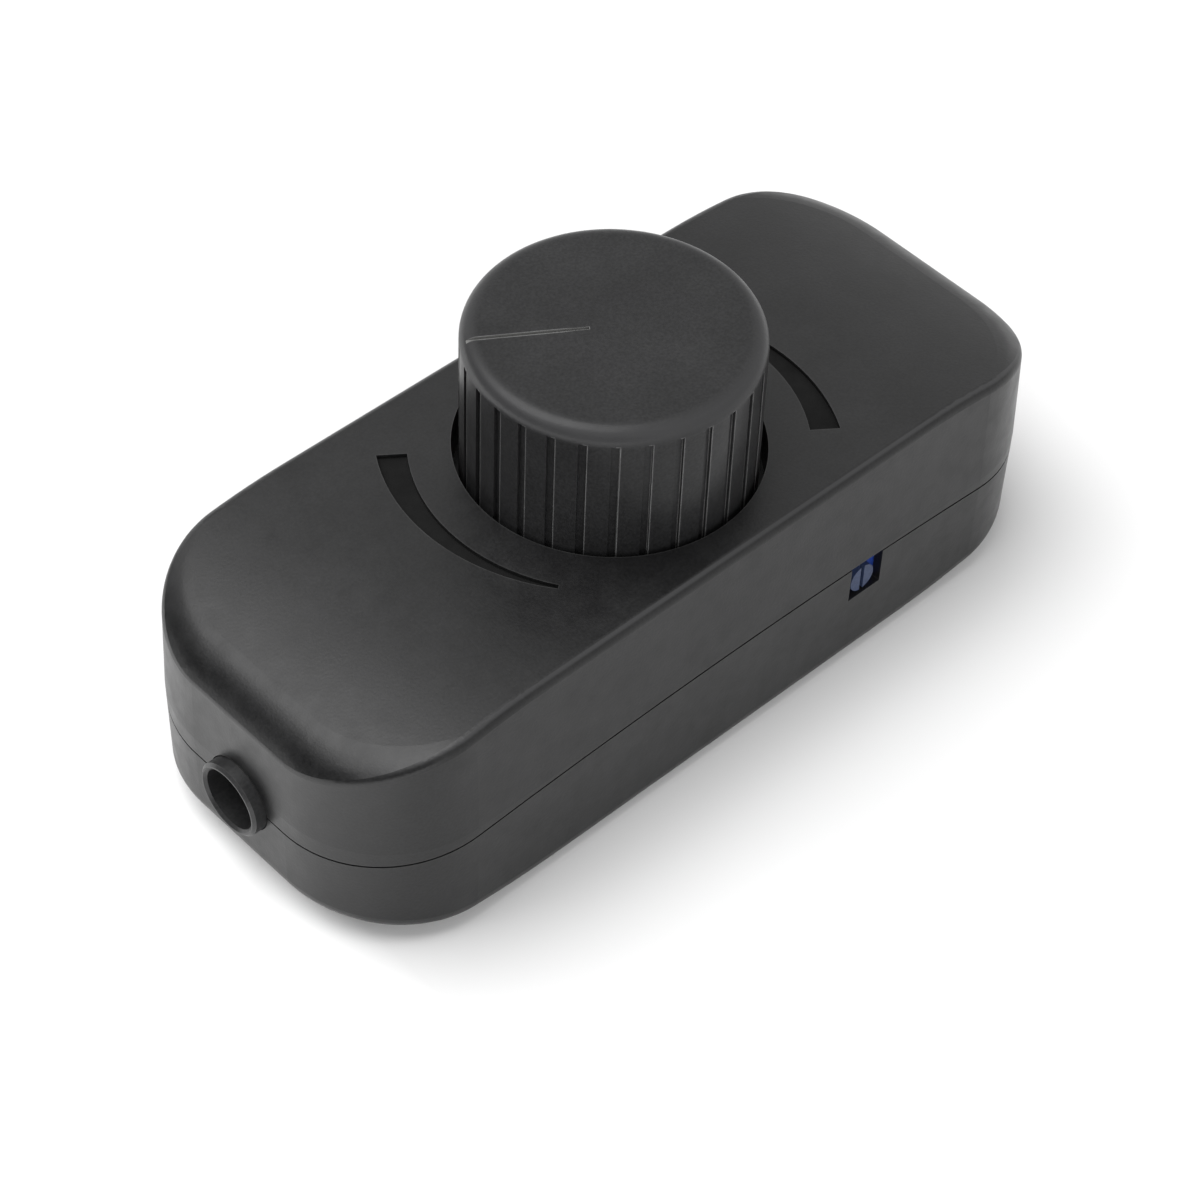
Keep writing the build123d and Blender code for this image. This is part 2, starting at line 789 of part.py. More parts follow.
# Trimmer behind the window
with BuildPart() as trimmer_body:
    with Locations((trimmer_x, trimmer_face, board_top)):
        Box(
            trimmer_width,
            trimmer_depth,
            trimmer_height,
            align=(Align.CENTER, Align.MIN, Align.MIN),
        )
    with Locations(Plane.XZ.offset(-trimmer_face)):
        with Locations((trimmer_x, trimmer_axis_height, 0)):
            Cylinder(
                rotor_radius + running_gap, rotor_length, align=ALIGN_TOP, mode=Mode.SUBTRACT
            )
    add_leads(trimmer_leads, board_top)
trimmer_body.part.label = "trimmer_body"

with BuildPart() as trimmer_rotor:
    with Locations(Plane.XZ.offset(-trimmer_face)):
        with Locations((trimmer_x, trimmer_axis_height, rotor_stand)):
            Cylinder(rotor_radius, rotor_length + rotor_stand - running_gap, align=ALIGN_TOP)
            Box(slot_width, 2 * rotor_radius, slot_depth, align=ALIGN_TOP, mode=Mode.SUBTRACT)
trimmer_rotor.part.label = "trimmer_rotor"


def terminal_block(side):
    """Two pole block, wires enter towards the cable, screws are reached from above."""
    with BuildPart() as block:
        with Locations((side * terminal_x, 0, board_top)):
            Box(terminal_length, terminal_width, terminal_height, align=ALIGN_BASE)
        face = side * (terminal_x + terminal_length / 2)
        with Locations(Plane.YZ.offset(face)):
            for y in (-terminal_pitch / 2, terminal_pitch / 2):
                with Locations((y, board_top + entry_lift, 0)):
                    Cylinder(entry_radius, 2 * entry_depth, mode=Mode.SUBTRACT)
        points = [p for p in terminal_points if p[0] * side > 0]
        with Locations(*[(x, y, screw_seat) for x, y in points]):
            Cylinder(terminal_screw_radius, body_height, align=ALIGN_BASE, mode=Mode.SUBTRACT)
        add_leads(points, board_top)
    return block.part


with BuildPart() as terminal_screws:
    with Locations(*[(x, y, screw_seat) for x, y in terminal_points]):
        Cylinder(terminal_screw_radius, terminal_screw_length, align=ALIGN_BASE)
    with Locations(*[(x, y, screw_seat + terminal_screw_length) for x, y in terminal_points]):
        Box(2 * terminal_screw_radius, slot_width, slot_depth, align=ALIGN_TOP, mode=Mode.SUBTRACT)
terminal_screws.part.label = "terminal_screws"

# Triac bolted to its heat sink
with BuildPart() as heat_sink:
    with Locations((triac_x, triac_y, board_top)):
        Box(
            sink_length,
            sink_thickness,
            sink_height,
            align=(Align.CENTER, Align.MIN, Align.MIN),
        )
    with Locations((triac_x, triac_y, tab_axis_height)):
        Cylinder(sink_screw_radius, body_width, rotation=(90, 0, 0), mode=Mode.SUBTRACT)
heat_sink.part.label = "heat_sink"

with BuildPart() as triac:
    with Locations((triac_x, triac_y, board_top + triac_lift)):
        Box(triac_width, triac_thickness, triac_body, align=(Align.CENTER, Align.MAX, Align.MIN))
        Box(
            triac_width,
            tab_thickness,
            triac_body + triac_tab,
            align=(Align.CENTER, Align.MAX, Align.MIN),
        )
    with Locations((triac_x, triac_y, tab_axis_height)):
        Cylinder(sink_screw_radius, body_width, rotation=(90, 0, 0), mode=Mode.SUBTRACT)
    add_leads(triac_leads, board_top + triac_lift)
triac.part.label = "triac"

with BuildPart() as heat_sink_screw:
    with Locations((triac_x, triac_y + sink_thickness, tab_axis_height)):
        Cylinder(
            sink_screw_radius,
            sink_thickness + tab_thickness,
            rotation=(90, 0, 0),
            align=ALIGN_BASE,
        )
    with Locations((triac_x, triac_y - tab_thickness, tab_axis_height)):
        Cylinder(
            sink_screw_head_radius, sink_screw_head, rotation=(90, 0, 0), align=ALIGN_BASE
        )
heat_sink_screw.part.label = "heat_sink_screw"

# Capacitors, fuse, choke, resistors and diac
with BuildPart() as film_capacitor:
    with Locations((film_x, film_y, board_top)):
        Box(film_length, film_width, film_height, align=ALIGN_BASE)
    fillet(film_capacitor.edges().filter_by(Axis.Z), radius=film_width / 8)
    add_leads(film_leads, board_top)
film_capacitor.part.label = "film_capacitor"

with BuildPart() as electrolytic_capacitor:
    with Locations((can_x, can_y, board_top)):
        Cylinder(can_radius, can_height, align=ALIGN_BASE)
    chamfer(electrolytic_capacitor.edges().group_by(Axis.Z)[-1], length=can_chamfer)
    add_leads(can_leads, board_top)
electrolytic_capacitor.part.label = "electrolytic_capacitor"

with BuildPart() as fuse:
    with Locations((fuse_x, fuse_y, board_top)):
        Cylinder(fuse_radius, fuse_height, align=ALIGN_BASE)
    add_leads(fuse_leads, board_top)
fuse.part.label = "fuse"

with BuildPart() as choke_core:
    with Locations((choke_x, choke_y, board_top)):
        Cylinder(choke_radius, choke_flange, align=ALIGN_BASE)
        Cylinder(choke_core_radius, choke_height, align=ALIGN_BASE)
    with Locations((choke_x, choke_y, board_top + choke_height)):
        Cylinder(choke_radius, choke_flange, align=ALIGN_TOP)
    add_leads(choke_leads, board_top)
choke_core.part.label = "choke_core"

with BuildPart() as choke_winding:
    with Locations((choke_x, choke_y, board_top + choke_flange)):
        Cylinder(winding_radius, choke_height - 2 * choke_flange, align=ALIGN_BASE)
        Cylinder(choke_core_radius, body_height, mode=Mode.SUBTRACT)
choke_winding.part.label = "choke_winding"


def lying_component(leads, length, radius):
    """Round body lying along X on the board, a lead at each end bent down through it."""
    (start, y), (end, y) = leads
    axis_height = board_top + radius
    with BuildPart() as component:
        with Locations(((start + end) / 2, y, axis_height)):
            Cylinder(radius, length, rotation=(0, 90, 0))
            Cylinder(lead_radius, end - start + 2 * lead_radius, rotation=(0, 90, 0))
        add_leads(leads, axis_height)
    return component.part


resistors = Compound(
    children=[
        lying_component(resistor_leads[row::2], resistor_length, resistor_radius)
        for row in (0, 1)
    ]
)
resistors.label = "resistors"
diac = lying_component(diac_leads, diac_length, diac_radius)
diac.label = "diac"

# Pieces that occur once at each end
end_pieces = []
for side, name in ((-1, "left"), (1, "right")):
    for make, kind in (
        (cable_bushing, "cable_bushing"),
        (cable_clamp, "cable_clamp"),
        (terminal_block, "terminal_block"),
    ):
        piece = make(side)
        piece.label = f"{kind}_{name}"
        end_pieces.append(piece)

for piece in [
    upper_cover.part,
    lower_cover.part,
    housing_screws.part,
    clamp_screws.part,
    knob.part,
    pot_shaft.part,
    threaded_bushing.part,
    flat_washer.part,
    hex_nut.part,
    pot_case.part,
    resistance_track.part,
    wiper_rotor.part,
    terminal_plate.part,
    pot_terminals.part,
    switch_case.part,
    switch_cam.part,
    switch_contacts.part,
    circuit_board.part,
    trimmer_body.part,
    trimmer_rotor.part,
    terminal_screws.part,
    heat_sink.part,
    triac.part,
    heat_sink_screw.part,
    film_capacitor.part,
    electrolytic_capacitor.part,
    fuse.part,
    choke_core.part,
    choke_winding.part,
    resistors,
    diac,
] + end_pieces:
    export_step(piece, f"parts/{piece.label}.step")
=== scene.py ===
import json
import math

import bpy
from mathutils import Matrix, Vector


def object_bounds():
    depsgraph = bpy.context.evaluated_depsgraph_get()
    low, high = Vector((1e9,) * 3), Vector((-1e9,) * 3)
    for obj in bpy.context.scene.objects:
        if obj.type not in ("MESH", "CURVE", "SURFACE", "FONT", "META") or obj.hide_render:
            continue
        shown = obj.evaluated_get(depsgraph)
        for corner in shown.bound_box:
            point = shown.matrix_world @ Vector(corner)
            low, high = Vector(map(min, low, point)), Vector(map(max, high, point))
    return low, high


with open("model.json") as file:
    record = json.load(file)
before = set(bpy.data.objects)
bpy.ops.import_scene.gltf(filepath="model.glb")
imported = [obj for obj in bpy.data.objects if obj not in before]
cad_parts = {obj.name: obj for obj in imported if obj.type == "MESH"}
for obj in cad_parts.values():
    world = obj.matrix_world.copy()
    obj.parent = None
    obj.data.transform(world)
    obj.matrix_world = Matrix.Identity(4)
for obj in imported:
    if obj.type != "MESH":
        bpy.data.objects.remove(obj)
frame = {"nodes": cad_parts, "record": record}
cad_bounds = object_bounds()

# Lengths are in metres, angles in degrees, powers in watts, colours in linear red, green, blue
MM = 0.001


def points(name):
    """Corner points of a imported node's mesh, in the part's own frame."""
    return [vertex.co for vertex in frame["nodes"][name].data.vertices]


# Places on the object, read from the frame
LEFT_END = cad_bounds[0].x
COVER_TOP = max(point.z for point in points("upper_cover"))
KNOB_TOP = max(point.z for point in points("knob"))
KNOB_RADIUS = max(math.hypot(point.x, point.y) for point in points("knob"))

# Camera, fitted to the photograph. Its lens and sensor are in millimetres
CAMERA_AZIMUTH = -44.8124
CAMERA_ELEVATION = 47.3266
CAMERA_ROLL = 2.4494
CAMERA_DISTANCE = 353.71 * MM
CAMERA_TARGET = Vector((-6.094, -5.72, 13.744)) * MM
CAMERA_LENS = 104.59
CAMERA_CLIP = (0.01, 20)
SENSOR_WIDTH = 36.0

# Noise: the range that most of a noise texture's values lie in
NOISE_LOW = 0.3
NOISE_HIGH = 0.7

# Moulded plastic: the sizes of its variations, and how far each of them goes
GRAIN_SIZE = 0.30 * MM
GRAIN_DEPTH = 0.012 * MM
GRAIN_TONE = (0.75, 1.25)
CLOUD_SIZE = 9 * MM
CLOUD_DARKER = 0.86
CLOUD_LIGHTER = 1.18
CLOUD_LIFT = 0.001
SMEAR_SIZE = 2.4 * MM
SMEAR_GLOSS = (-0.05, 0.06)

# Paler edges, partly wear and partly painted highlight, by the cosine between a face and the edge
# as it would be if rounded
WEAR_AND_HIGHLIGHT_EDGE = 0.30 * MM
WEAR_AND_HIGHLIGHT_FULL = 0.75
WEAR_AND_HIGHLIGHT_NONE = 0.98
WEAR_AND_HIGHLIGHT_PATCHES = (0.45, 1.0)
BEVEL_SAMPLES = 8

# Painted highlight along the cover's crease, by the Z of its normal and by how far the normal
# leans along Y
CREASE_TOP = (0.95, 0.99)
CREASE_BOTTOM = (0.72, 0.86)
CREASE_ASIDE = (0.10, 0.28)
CREASE_HIGHLIGHT = (0.030, 0.030, 0.031)
CREASE_ROUGHNESS = 0.35

# The floors of the cover's two arc marks: matt, and darkened with painted shade
MARK_FLOOR = (COVER_TOP - 0.70 * MM, COVER_TOP - 0.25 * MM)
MARK_RADIUS = (20.1 * MM, 23.6 * MM)
MARK_REACH = 15.0 * MM
MARK_SHADE = (0.002, 0.002, 0.002)
MARK_ROUGHNESS = 0.95

# The knob's grooves, and the painted highlights on its rim and in its pointer line. BEYOND reaches
# past everything on the knob
GROOVE_COUNT = 30
GROOVE_PHASE = 155.5
RIM_ACROSS = (KNOB_RADIUS - 1.92 * MM, KNOB_RADIUS - 0.72 * MM)
RIM_UP = (KNOB_TOP - 2.0 * MM, KNOB_TOP - 0.9 * MM)
RIM_HIGHLIGHT = (0.034, 0.034, 0.035)
RIM_ROUGHNESS = 0.34
POINTER_ANGLE = 146.5
POINTER_START = 2.45 * MM
POINTER_HALF = 0.21 * MM
POINTER_FLOOR = KNOB_TOP - 0.4 * MM
POINTER_HIGHLIGHT = (0.15, 0.15, 0.147)
POINTER_ROUGHNESS = 0.5
BEYOND = 20 * MM

# Metal: its drawn grain, and patches of duller tone
LINE_SIZE = 0.12 * MM
LINE_DEPTH = 0.003 * MM
LINE_GLOSS = (-0.08, 0.10)
DULL_SIZE = 3 * MM
DULL_SHARE = 0.8

# Printed board
BOARD_CELL = 4 * MM
BOARD_GAP = 0.04
BOARD_DEPTH = 0.03 * MM
BOARD_MASKS = ((0.01, 0.10, 0.035), (0.012, 0.13, 0.045))
BOARD_TRACK = (0.03, 0.22, 0.07)

# Wound wire: the size of a wave texture whose bands come 0.94 mm apart
WIRE_WAVE = 3 * MM
WIRE_DEPTH = 0.15 * MM
WIRE_SHADE = 0.4

# Floor, and its glow, which is seen but doesn't light the object.
# It grows to the left of the object as a painted pool of light, and with the distance from its
# axis
FLOOR_SIZE = 6.0
FLOOR_GREY = 0.85
LEFT_GLOW = 1.6
LEFT_STARTS = LEFT_END + 6 * MM
LEFT_FULL = LEFT_END - 40 * MM
FAR_GLOW = 1.0
FAR_STARTS = 0.14
FAR_FULL = 0.60

# Dark card, an arc round the object's middle
FLAG_RADIUS = 1.1
FLAG_BOTTOM = 0.02
FLAG_TOP = 0.72
FLAG_FROM = 95
FLAG_TO = 245
FLAG_STEPS = 30
FLAG_TONE = (0.02, 0.02, 0.02)

# Light
WORLD_LIGHT = 0.42
LAMPS_AIM = (0, 0, 0.015)
SOFTBOX_PLACE = (-0.22, 0.23, 0.85)
SOFTBOX_SIZE = 0.75
SOFTBOX_POWER = 8.5
PANEL_PLACE = (-0.36, -0.78, 0.44)
PANEL_WIDTH = 1.6
PANEL_HEIGHT = 0.8
PANEL_POWER = 6.0


def make_camera():
    """Camera that looks at the target from the fitted direction, with the fitted roll."""
    azimuth = math.radians(CAMERA_AZIMUTH)
    elevation = math.radians(CAMERA_ELEVATION)
    roll = math.radians(CAMERA_ROLL)
    back = Vector((
        math.sin(azimuth) * math.cos(elevation),
        -math.cos(azimuth) * math.cos(elevation),
        math.sin(elevation),
    ))
    level = (-back).cross(Vector((0, 0, 1))).normalized()
    upright = level.cross(-back)
    right = math.cos(roll) * level + math.sin(roll) * upright
    up = -math.sin(roll) * level + math.cos(roll) * upright
    data = bpy.data.cameras.new("camera")
    data.lens = CAMERA_LENS
    data.sensor_width = SENSOR_WIDTH
    data.clip_start, data.clip_end = CAMERA_CLIP
    camera = bpy.data.objects.new("camera", data)
    rotation = Matrix((right, up, back)).transposed().to_4x4()
    camera.matrix_world = Matrix.Translation(CAMERA_TARGET + CAMERA_DISTANCE * back) @ rotation
    bpy.context.scene.collection.objects.link(camera)
    bpy.context.scene.camera = camera


class Nodes:
    """A material's node tree, with one short method for each kind of node used here."""

    def __init__(self, name):
        self.material = bpy.data.materials.new(name)
        self.material.use_nodes = True
        self.tree = self.material.node_tree
        self.tree.nodes.clear()
        self.output = self.tree.nodes.new("ShaderNodeOutputMaterial")
        self.coords = self.tree.nodes.new("ShaderNodeTexCoord").outputs["Object"]

    def link(self, source, target):
        self.tree.links.new(source, target)

    def shader(self, **values):
        """Principled shader on the surface. In a value's name, _ stands for a space."""
        node = self.tree.nodes.new("ShaderNodeBsdfPrincipled")
        for key, value in values.items():
            node.inputs[key.replace("_", " ")].default_value = value
        self.link(node.outputs[0], self.output.inputs["Surface"])
        return node

    def matt(self, colour):
        """Plain diffuse shader."""
        node = self.tree.nodes.new("ShaderNodeBsdfDiffuse")
        node.inputs["Color"].default_value = (*colour, 1)
        return node.outputs[0]

    def stretched(self, scale):
        """Object coordinates, scaled along each axis."""
        node = self.tree.nodes.new("ShaderNodeMapping")
        node.inputs["Scale"].default_value = scale
        self.link(self.coords, node.inputs["Vector"])
        return node.outputs[0]

    def noise(self, size, detail, roughness=0.5, vector=None):
        """Noise whose features are about size metres across."""
        node = self.tree.nodes.new("ShaderNodeTexNoise")
        node.inputs["Scale"].default_value = 1 / size
        node.inputs["Detail"].default_value = detail
        node.inputs["Roughness"].default_value = roughness
        self.link(vector or self.coords, node.inputs["Vector"])
        return node.outputs["Fac"]

    def spread(self, value, low, high, low_at=NOISE_LOW, high_at=NOISE_HIGH):
        """Number that goes from low to high as value goes from low_at to high_at."""
        node = self.tree.nodes.new("ShaderNodeMapRange")
        node.inputs["From Min"].default_value = low_at
        node.inputs["From Max"].default_value = high_at
        node.inputs["To Min"].default_value = low
        node.inputs["To Max"].default_value = high
        self.link(value, node.inputs["Value"])
        return node.outputs["Result"]

    def colours(self, value, *colours, low_at=NOISE_LOW, high_at=NOISE_HIGH):
        """Colour that goes through colours as value goes from low_at to high_at."""
        node = self.tree.nodes.new("ShaderNodeValToRGB")
        ramp = node.color_ramp
        steps = len(colours) - 1
        while len(ramp.elements) < len(colours):
            ramp.elements.new(0.5)
        for i, colour in enumerate(colours):
            ramp.elements[i].position = low_at + (high_at - low_at) * i / steps
            ramp.elements[i].color = (*colour, 1)
        self.link(value, node.inputs["Fac"])
        return node.outputs["Color"]

    def math(self, operation, *values):
        """Math node on values that are numbers or sockets."""
        node = self.tree.nodes.new("ShaderNodeMath")
        node.operation = operation
        for i, value in enumerate(values):
            if isinstance(value, (int, float)):
                node.inputs[i].default_value = value
            else:
                self.link(value, node.inputs[i])
        return node.outputs[0]

    def within(self, *spans):
        """1 where each value lies inside its span of low and high, and 0 elsewhere."""
        result = None
        for value, low, high in spans:
            inside = self.math("COMPARE", value, (low + high) / 2, (high - low) / 2)
            result = self.math("MULTIPLY", result, inside) if result else inside
        return result

    def place(self, turn=0.0):
        """X, Y and Z in the part's own frame, turned about Z by an angle in degrees."""
        node = self.tree.nodes.new("ShaderNodeMapping")
        node.inputs["Rotation"].default_value = (0, 0, math.radians(turn))
        self.link(self.coords, node.inputs["Vector"])
        return self.parts(node.outputs[0])

    def parts(self, vector):
        """X, Y and Z of a vector."""
        node = self.tree.nodes.new("ShaderNodeSeparateXYZ")
        self.link(vector, node.inputs[0])
        return node.outputs

    def distance(self, x, y):
        """Distance from the axis that x and y are measured from."""
        return self.math(
            "SQRT", self.math("ADD", self.math("POWER", x, 2.0), self.math("POWER", y, 2.0))
        )

    def mixed(self, share, plain, other):
        """Colour that goes from plain to other as share goes from 0 to 1."""
        node = self.tree.nodes.new("ShaderNodeMix")
        node.data_type = "RGBA"
        self.link(share, node.inputs[0])
        for socket, colour in ((node.inputs[6], plain), (node.inputs[7], other)):
            if isinstance(colour, tuple):
                socket.default_value = (*colour, 1)
            else:
                self.link(colour, socket)
        return node.outputs[2]

    def scaled(self, colour, factor):
        """Colour times a number."""
        node = self.tree.nodes.new("ShaderNodeVectorMath")
        node.operation = "SCALE"
        self.link(colour, node.inputs[0])
        self.link(factor, node.inputs["Scale"])
        return node.outputs[0]

    def edges(self, radius):
        """Rises from 0 on a plain face to 1 on a sharp edge, over about radius metres."""
        rounded = self.tree.nodes.new("ShaderNodeBevel")
        rounded.samples = BEVEL_SAMPLES
        rounded.inputs["Radius"].default_value = radius
        lean = self.tree.nodes.new("ShaderNodeVectorMath")
        lean.operation = "DOT_PRODUCT"
        self.link(rounded.outputs[0], lean.inputs[0])
        self.link(self.normal(), lean.inputs[1])
        return self.spread(lean.outputs["Value"], 1, 0, WEAR_AND_HIGHLIGHT_FULL, WEAR_AND_HIGHLIGHT_NONE)

    def normal(self):
        """Normal of the surface, before any bump."""
        return self.tree.nodes.new("ShaderNodeNewGeometry").outputs["Normal"]

    def bump(self, height, distance):
        """Normal of a surface raised by height, from 0 to 1, times distance."""
        node = self.tree.nodes.new("ShaderNodeBump")
        node.inputs["Strength"].default_value = 1.0
        node.inputs["Distance"].default_value = distance
        self.link(height, node.inputs["Height"])
        return node.outputs["Normal"]


def times(colour, factor, lift=0.0):
    """Colour times a number, with lift added to each of its values."""
    return tuple(c * factor + lift for c in colour)


def moulded_plastic(
    name, colour, roughness, grain=GRAIN_SIZE, depth=GRAIN_DEPTH, specular=0.20,
    edge_wear_and_highlight=None, lit_side=None, marks=None,
):
    """Moulded plastic: fine spark-eroded grain, soft cloudy tone and faint handling marks.

    edge_wear_and_highlight gives its edges, where the function lit_side says so, a paler tone:
    partly wear, and partly painted highlight for light caught on the edges.
    marks adds the part's painted highlights, painted shade and matt places, as a list of share,
    colour and roughness.
    """
    n = Nodes(name)
    shader = n.shader(Specular_IOR_Level=specular)
    lighter = times(colour, CLOUD_LIGHTER, CLOUD_LIFT)
    darker = times(colour, CLOUD_DARKER)
    cloud = n.noise(CLOUD_SIZE, detail=4)
    smear = n.noise(SMEAR_SIZE, detail=5, roughness=0.6)
    fine = n.noise(grain, detail=3)
    tone = n.scaled(n.colours(cloud, darker, colour, lighter), n.spread(fine, *GRAIN_TONE))
    gloss = n.spread(smear, *(roughness + change for change in SMEAR_GLOSS))
    if edge_wear_and_highlight:
        share = n.math("MULTIPLY", n.edges(WEAR_AND_HIGHLIGHT_EDGE), n.spread(smear, *WEAR_AND_HIGHLIGHT_PATCHES))
        if lit_side:
            share = n.math("MULTIPLY", share, lit_side(n))
        tone = n.mixed(share, tone, edge_wear_and_highlight)
    # Painted highlights and painted shade from marks, each with its own roughness
    for share, painted_light, rough in marks(n) if marks else ():
        tone = n.mixed(share, tone, painted_light)
        gloss = n.math("ADD", gloss, n.math("MULTIPLY", share, rough - roughness))
    n.link(tone, shader.inputs["Base Color"])
    n.link(gloss, shader.inputs["Roughness"])
    n.link(n.bump(fine, depth), shader.inputs["Normal"])
    return n.material


def cover_marks(n):
    """A painted highlight along the long edges of the top, and the matt floors of the two arc
    marks, darkened with painted shade.
    """
    x, y, z = n.place()
    radius = n.distance(x, y)
    floor = n.within((z, *MARK_FLOOR), (radius, *MARK_RADIUS), (y, -MARK_REACH, MARK_REACH))
    facing = n.parts(n.normal())
    up = facing["Z"]
    aside = n.math("ABSOLUTE", facing["Y"])
    crease = n.math(
        "MULTIPLY", n.spread(up, 0, 1, *CREASE_BOTTOM), n.spread(up, 1, 0, *CREASE_TOP)
    )
    crease = n.math("MULTIPLY", crease, n.spread(aside, 0, 1, *CREASE_ASIDE))
    return [(crease, CREASE_HIGHLIGHT, CREASE_ROUGHNESS), (floor, MARK_SHADE, MARK_ROUGHNESS)]


def groove_sides(n):
    """1 on the side of each of the knob's grooves that gets a painted highlight, and 0 on the
    other.
    """
    x, y, _ = n.place(-GROOVE_PHASE)
    turn = n.math("ARCTAN2", y, x)
    half = math.pi / GROOVE_COUNT
    return n.within((n.math("WRAP", turn, half, -half), 0.0, half))


def knob_marks(n):
    """Painted highlights: a paler band on the rim, and a thin pale line in the pointer groove."""
    x, y, z = n.place()
    across = n.distance(x, y)
    rim = n.math("MULTIPLY", n.spread(across, 0, 1, *RIM_ACROSS), n.spread(z, 0, 1, *RIM_UP))
    along, aside, z = n.place(-POINTER_ANGLE)
    line = n.within(
        (along, POINTER_START, POINTER_START + BEYOND),
        (aside, -POINTER_HALF, POINTER_HALF),
        (z, POINTER_FLOOR, POINTER_FLOOR + BEYOND),
    )
    return [(rim, RIM_HIGHLIGHT, RIM_ROUGHNESS), (line, POINTER_HIGHLIGHT, POINTER_ROUGHNESS)]


def metal(name, colour, roughness, stretch=(1, 1, 1)):
    """Plated or drawn metal, with grain drawn out along the axis that stretch makes small."""
    n = Nodes(name)
    shader = n.shader(Metallic=1.0)
    lines = n.noise(LINE_SIZE, detail=4, vector=n.stretched(stretch))
    tone = n.colours(n.noise(DULL_SIZE, detail=4), times(colour, DULL_SHARE), colour)
    gloss = n.spread(lines, *(roughness + change for change in LINE_GLOSS))
    n.link(tone, shader.inputs["Base Color"])
    n.link(gloss, shader.inputs["Roughness"])
    n.link(n.bump(lines, LINE_DEPTH), shader.inputs["Normal"])
    return n.material


def printed_board(name):
    """Solder mask over copper tracks."""
    n = Nodes(name)
    shader = n.shader(Roughness=0.3)
    cells = n.tree.nodes.new("ShaderNodeTexBrick")
    cells.inputs["Scale"].default_value = 1 / BOARD_CELL
    cells.inputs["Mortar Size"].default_value = BOARD_GAP
    for socket, colour in zip(("Color1", "Color2", "Mortar"), (*BOARD_MASKS, BOARD_TRACK)):
        cells.inputs[socket].default_value = (*colour, 1)
    n.link(n.coords, cells.inputs["Vector"])
    n.link(cells.outputs["Color"], shader.inputs["Base Color"])
    n.link(n.bump(cells.outputs["Fac"], BOARD_DEPTH), shader.inputs["Normal"])
    return n.material


def wound_wire(name, colour):
    """Enamelled wire, wound in close turns about Z."""
    n = Nodes(name)
    shader = n.shader(Metallic=0.9, Roughness=0.28)
    wave = n.tree.nodes.new("ShaderNodeTexWave")
    wave.bands_direction = "Z"
    wave.inputs["Scale"].default_value = 1 / WIRE_WAVE
    n.link(n.coords, wave.inputs["Vector"])
    turns = wave.outputs["Fac"]
    tone = n.colours(turns, times(colour, WIRE_SHADE), colour, low_at=0.0, high_at=0.5)
    n.link(tone, shader.inputs["Base Color"])
    n.link(n.bump(turns, WIRE_DEPTH), shader.inputs["Normal"])
    return n.material


def make_materials():
    """One material for each slot that the record names."""
    plastics = {
        # edge_wear_and_highlight: paler edges, partly wear and partly painted highlight; on the
        # knob, only on the lit side of each groove
        "cover_plastic": dict(
            colour=(0.008, 0.008, 0.0083), roughness=0.35, specular=0.30,
            edge_wear_and_highlight=(0.04, 0.04, 0.04), marks=cover_marks,
        ),
        "knob_plastic": dict(
            colour=(0.0180, 0.0180, 0.0185), roughness=0.34, specular=0.18,
            edge_wear_and_highlight=(0.20, 0.20, 0.20), lit_side=groove_sides, marks=knob_marks,
        ),
        "bushing_plastic": dict(
            colour=(0.016, 0.016, 0.0165), roughness=0.38, specular=0.30,
            edge_wear_and_highlight=(0.07, 0.07, 0.07),
        ),
        "clamp_plastic": dict(colour=(0.05, 0.05, 0.05), roughness=0.5),
        "phenolic": dict(colour=(0.2, 0.09, 0.035), roughness=0.5, grain=0.6 * MM),
        "track_carbon": dict(colour=(0.02, 0.02, 0.02), roughness=0.7),
        "rotor_plastic": dict(colour=(0.55, 0.52, 0.44), roughness=0.45),
        "switch_plastic": dict(colour=(0.03, 0.03, 0.03), roughness=0.45),
        "terminal_plastic": dict(colour=(0.02, 0.16, 0.05), roughness=0.35),
        "triac_epoxy": dict(colour=(0.02, 0.02, 0.02), roughness=0.55),
        "film_box": dict(colour=(0.5, 0.34, 0.04), roughness=0.35),
        "can_sleeve": dict(colour=(0.02, 0.03, 0.1), roughness=0.25, grain=1 * MM),
        "fuse_body": dict(colour=(0.03, 0.03, 0.03), roughness=0.35),
        "ferrite": dict(colour=(0.05, 0.05, 0.052), roughness=0.6, depth=0.02 * MM),
        "resistor_body": dict(colour=(0.45, 0.3, 0.16), roughness=0.35),
        "diac_glass": dict(colour=(0.06, 0.14, 0.36), roughness=0.2),
        "trimmer_blue": dict(colour=(0.015, 0.05, 0.30), roughness=0.35, specular=0.5),
        "trimmer_white": dict(colour=(0.035, 0.050, 0.100), roughness=0.4),
    }
    metals = {
        "screw_steel": dict(colour=(0.52, 0.52, 0.53), roughness=0.3, stretch=(1, 1, 0.1)),
        "nickel": dict(colour=(0.58, 0.56, 0.52), roughness=0.28),
        "brass": dict(colour=(0.62, 0.43, 0.17), roughness=0.3),
        "aluminium": dict(colour=(0.66, 0.66, 0.67), roughness=0.35, stretch=(0.1, 1, 1)),
    }
    materials = {name: moulded_plastic(name, **look) for name, look in plastics.items()}
    materials.update({name: metal(name, **look) for name, look in metals.items()})
    materials["board_laminate"] = printed_board("board_laminate")
    materials["copper_wire"] = wound_wire("copper_wire", (0.6, 0.24, 0.09))
    return materials


def dress_nodes(materials):
    """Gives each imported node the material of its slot."""
    for part in frame["record"]["subparts"]:
        node = frame["nodes"][part["node"]]
        node.data.materials.clear()
        node.data.materials.append(materials[part["material_slot"]])


def stage_object(name, corners, faces, material):
    """Plain mesh for the stage, linked to the scene."""
    mesh = bpy.data.meshes.new(name)
    mesh.from_pydata(corners, [], faces)
    mesh.materials.append(material)
    piece = bpy.data.objects.new(name, mesh)
    bpy.context.scene.collection.objects.link(piece)
    return piece


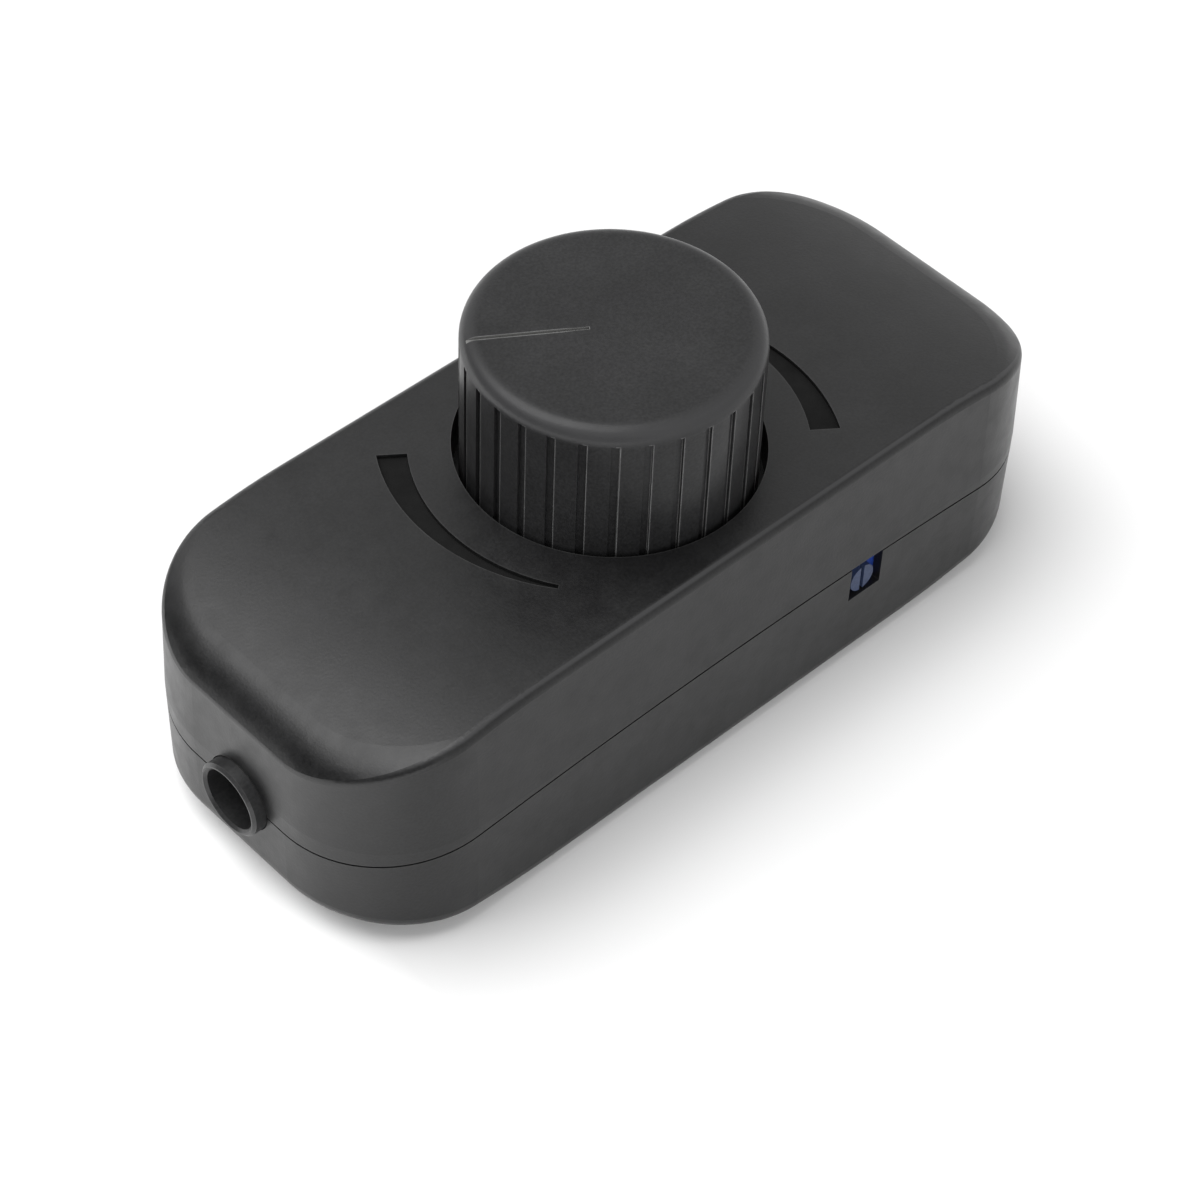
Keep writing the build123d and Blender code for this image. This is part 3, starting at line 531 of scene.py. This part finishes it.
def seen_directly(tree):
    """1 for the camera, reflections and transmission, 0 for the light that falls on the object."""
    path = tree.nodes.new("ShaderNodeLightPath")
    value = path.outputs["Is Camera Ray"]
    for kind in ("Is Glossy Ray", "Is Transmission Ray"):
        either = tree.nodes.new("ShaderNodeMath")
        either.operation = "MAXIMUM"
        tree.links.new(value, either.inputs[0])
        tree.links.new(path.outputs[kind], either.inputs[1])
        value = either.outputs[0]
    return value


def floor_glow(n):
    """Glow of the floor: none round the switch, a painted pool of light beyond its left end, and
    full far away.
    """
    x, y, _ = n.place()
    left = n.spread(x, 0, LEFT_GLOW, LEFT_STARTS, LEFT_FULL)
    far = n.spread(n.distance(x, y), 0, FAR_GLOW, FAR_STARTS, FAR_FULL)
    glow = n.math("MAXIMUM", left, far)
    return n.math("MULTIPLY", glow, seen_directly(n.tree))


def make_floor():
    """White floor under the object, which keeps its shadow."""
    n = Nodes("floor")
    glow = n.tree.nodes.new("ShaderNodeEmission")
    n.link(floor_glow(n), glow.inputs["Strength"])
    total = n.tree.nodes.new("ShaderNodeAddShader")
    n.link(n.matt((FLOOR_GREY,) * 3), total.inputs[0])
    n.link(glow.outputs[0], total.inputs[1])
    n.link(total.outputs[0], n.output.inputs["Surface"])
    half = FLOOR_SIZE / 2
    corners = [(-half, -half, 0), (half, -half, 0), (half, half, 0), (-half, half, 0)]
    floor = stage_object("floor", corners, [(0, 1, 2, 3)], n.material)


def make_flag():
    """Dark curved card round the left, which only reflections show, in the cover's rolled edge."""
    n = Nodes("flag")
    n.link(n.matt(FLAG_TONE), n.output.inputs["Surface"])
    corners = []
    for i in range(FLAG_STEPS + 1):
        turn = math.radians(FLAG_FROM + (FLAG_TO - FLAG_FROM) * i / FLAG_STEPS)
        x, y = FLAG_RADIUS * math.cos(turn), FLAG_RADIUS * math.sin(turn)
        corners += [(x, y, FLAG_BOTTOM), (x, y, FLAG_TOP)]
    faces = [(2 * i, 2 * i + 2, 2 * i + 3, 2 * i + 1) for i in range(FLAG_STEPS)]
    flag = stage_object("flag", corners, faces, n.material)
    flag.visible_camera = False
    flag.visible_diffuse = False
    flag.visible_shadow = False


def make_world():
    """White to the camera and in reflections, and dimmer as light on the object."""
    world = bpy.data.worlds.new("studio")
    world.use_nodes = True
    tree = world.node_tree
    tree.nodes.clear()
    output = tree.nodes.new("ShaderNodeOutputWorld")
    background = tree.nodes.new("ShaderNodeBackground")
    background.inputs["Color"].default_value = (1, 1, 1, 1)
    strength = tree.nodes.new("ShaderNodeMapRange")
    strength.inputs["To Min"].default_value = WORLD_LIGHT
    strength.inputs["To Max"].default_value = 1.0
    tree.links.new(seen_directly(tree), strength.inputs["Value"])
    tree.links.new(strength.outputs["Result"], background.inputs["Strength"])
    tree.links.new(background.outputs[0], output.inputs["Surface"])
    bpy.context.scene.world = world


def area_light(name, place, aim, width, height, power, mirrored=True):
    """Rectangular lamp at place, turned to aim, which reflections show where mirrored is true."""
    data = bpy.data.lights.new(name, "AREA")
    data.shape = "RECTANGLE"
    data.size = width
    data.size_y = height
    data.energy = power
    light = bpy.data.objects.new(name, data)
    place = Vector(place)
    light.rotation_mode = "QUATERNION"
    light.rotation_quaternion = (Vector(aim) - place).to_track_quat("-Z", "Y")
    light.location = place
    light.visible_camera = False
    light.visible_glossy = mirrored
    bpy.context.scene.collection.objects.link(light)


def make_lights():
    """A soft box over the left, and a broad panel in front that has no reflection."""
    area_light(
        "left_softbox", SOFTBOX_PLACE, LAMPS_AIM, SOFTBOX_SIZE, SOFTBOX_SIZE, SOFTBOX_POWER
    )
    area_light(
        "front_panel", PANEL_PLACE, LAMPS_AIM, PANEL_WIDTH, PANEL_HEIGHT, PANEL_POWER,
        mirrored=False,
    )


make_camera()
dress_nodes(make_materials())
make_floor()
make_flag()
make_world()
make_lights()
bpy.context.scene.view_settings.view_transform = "Standard"
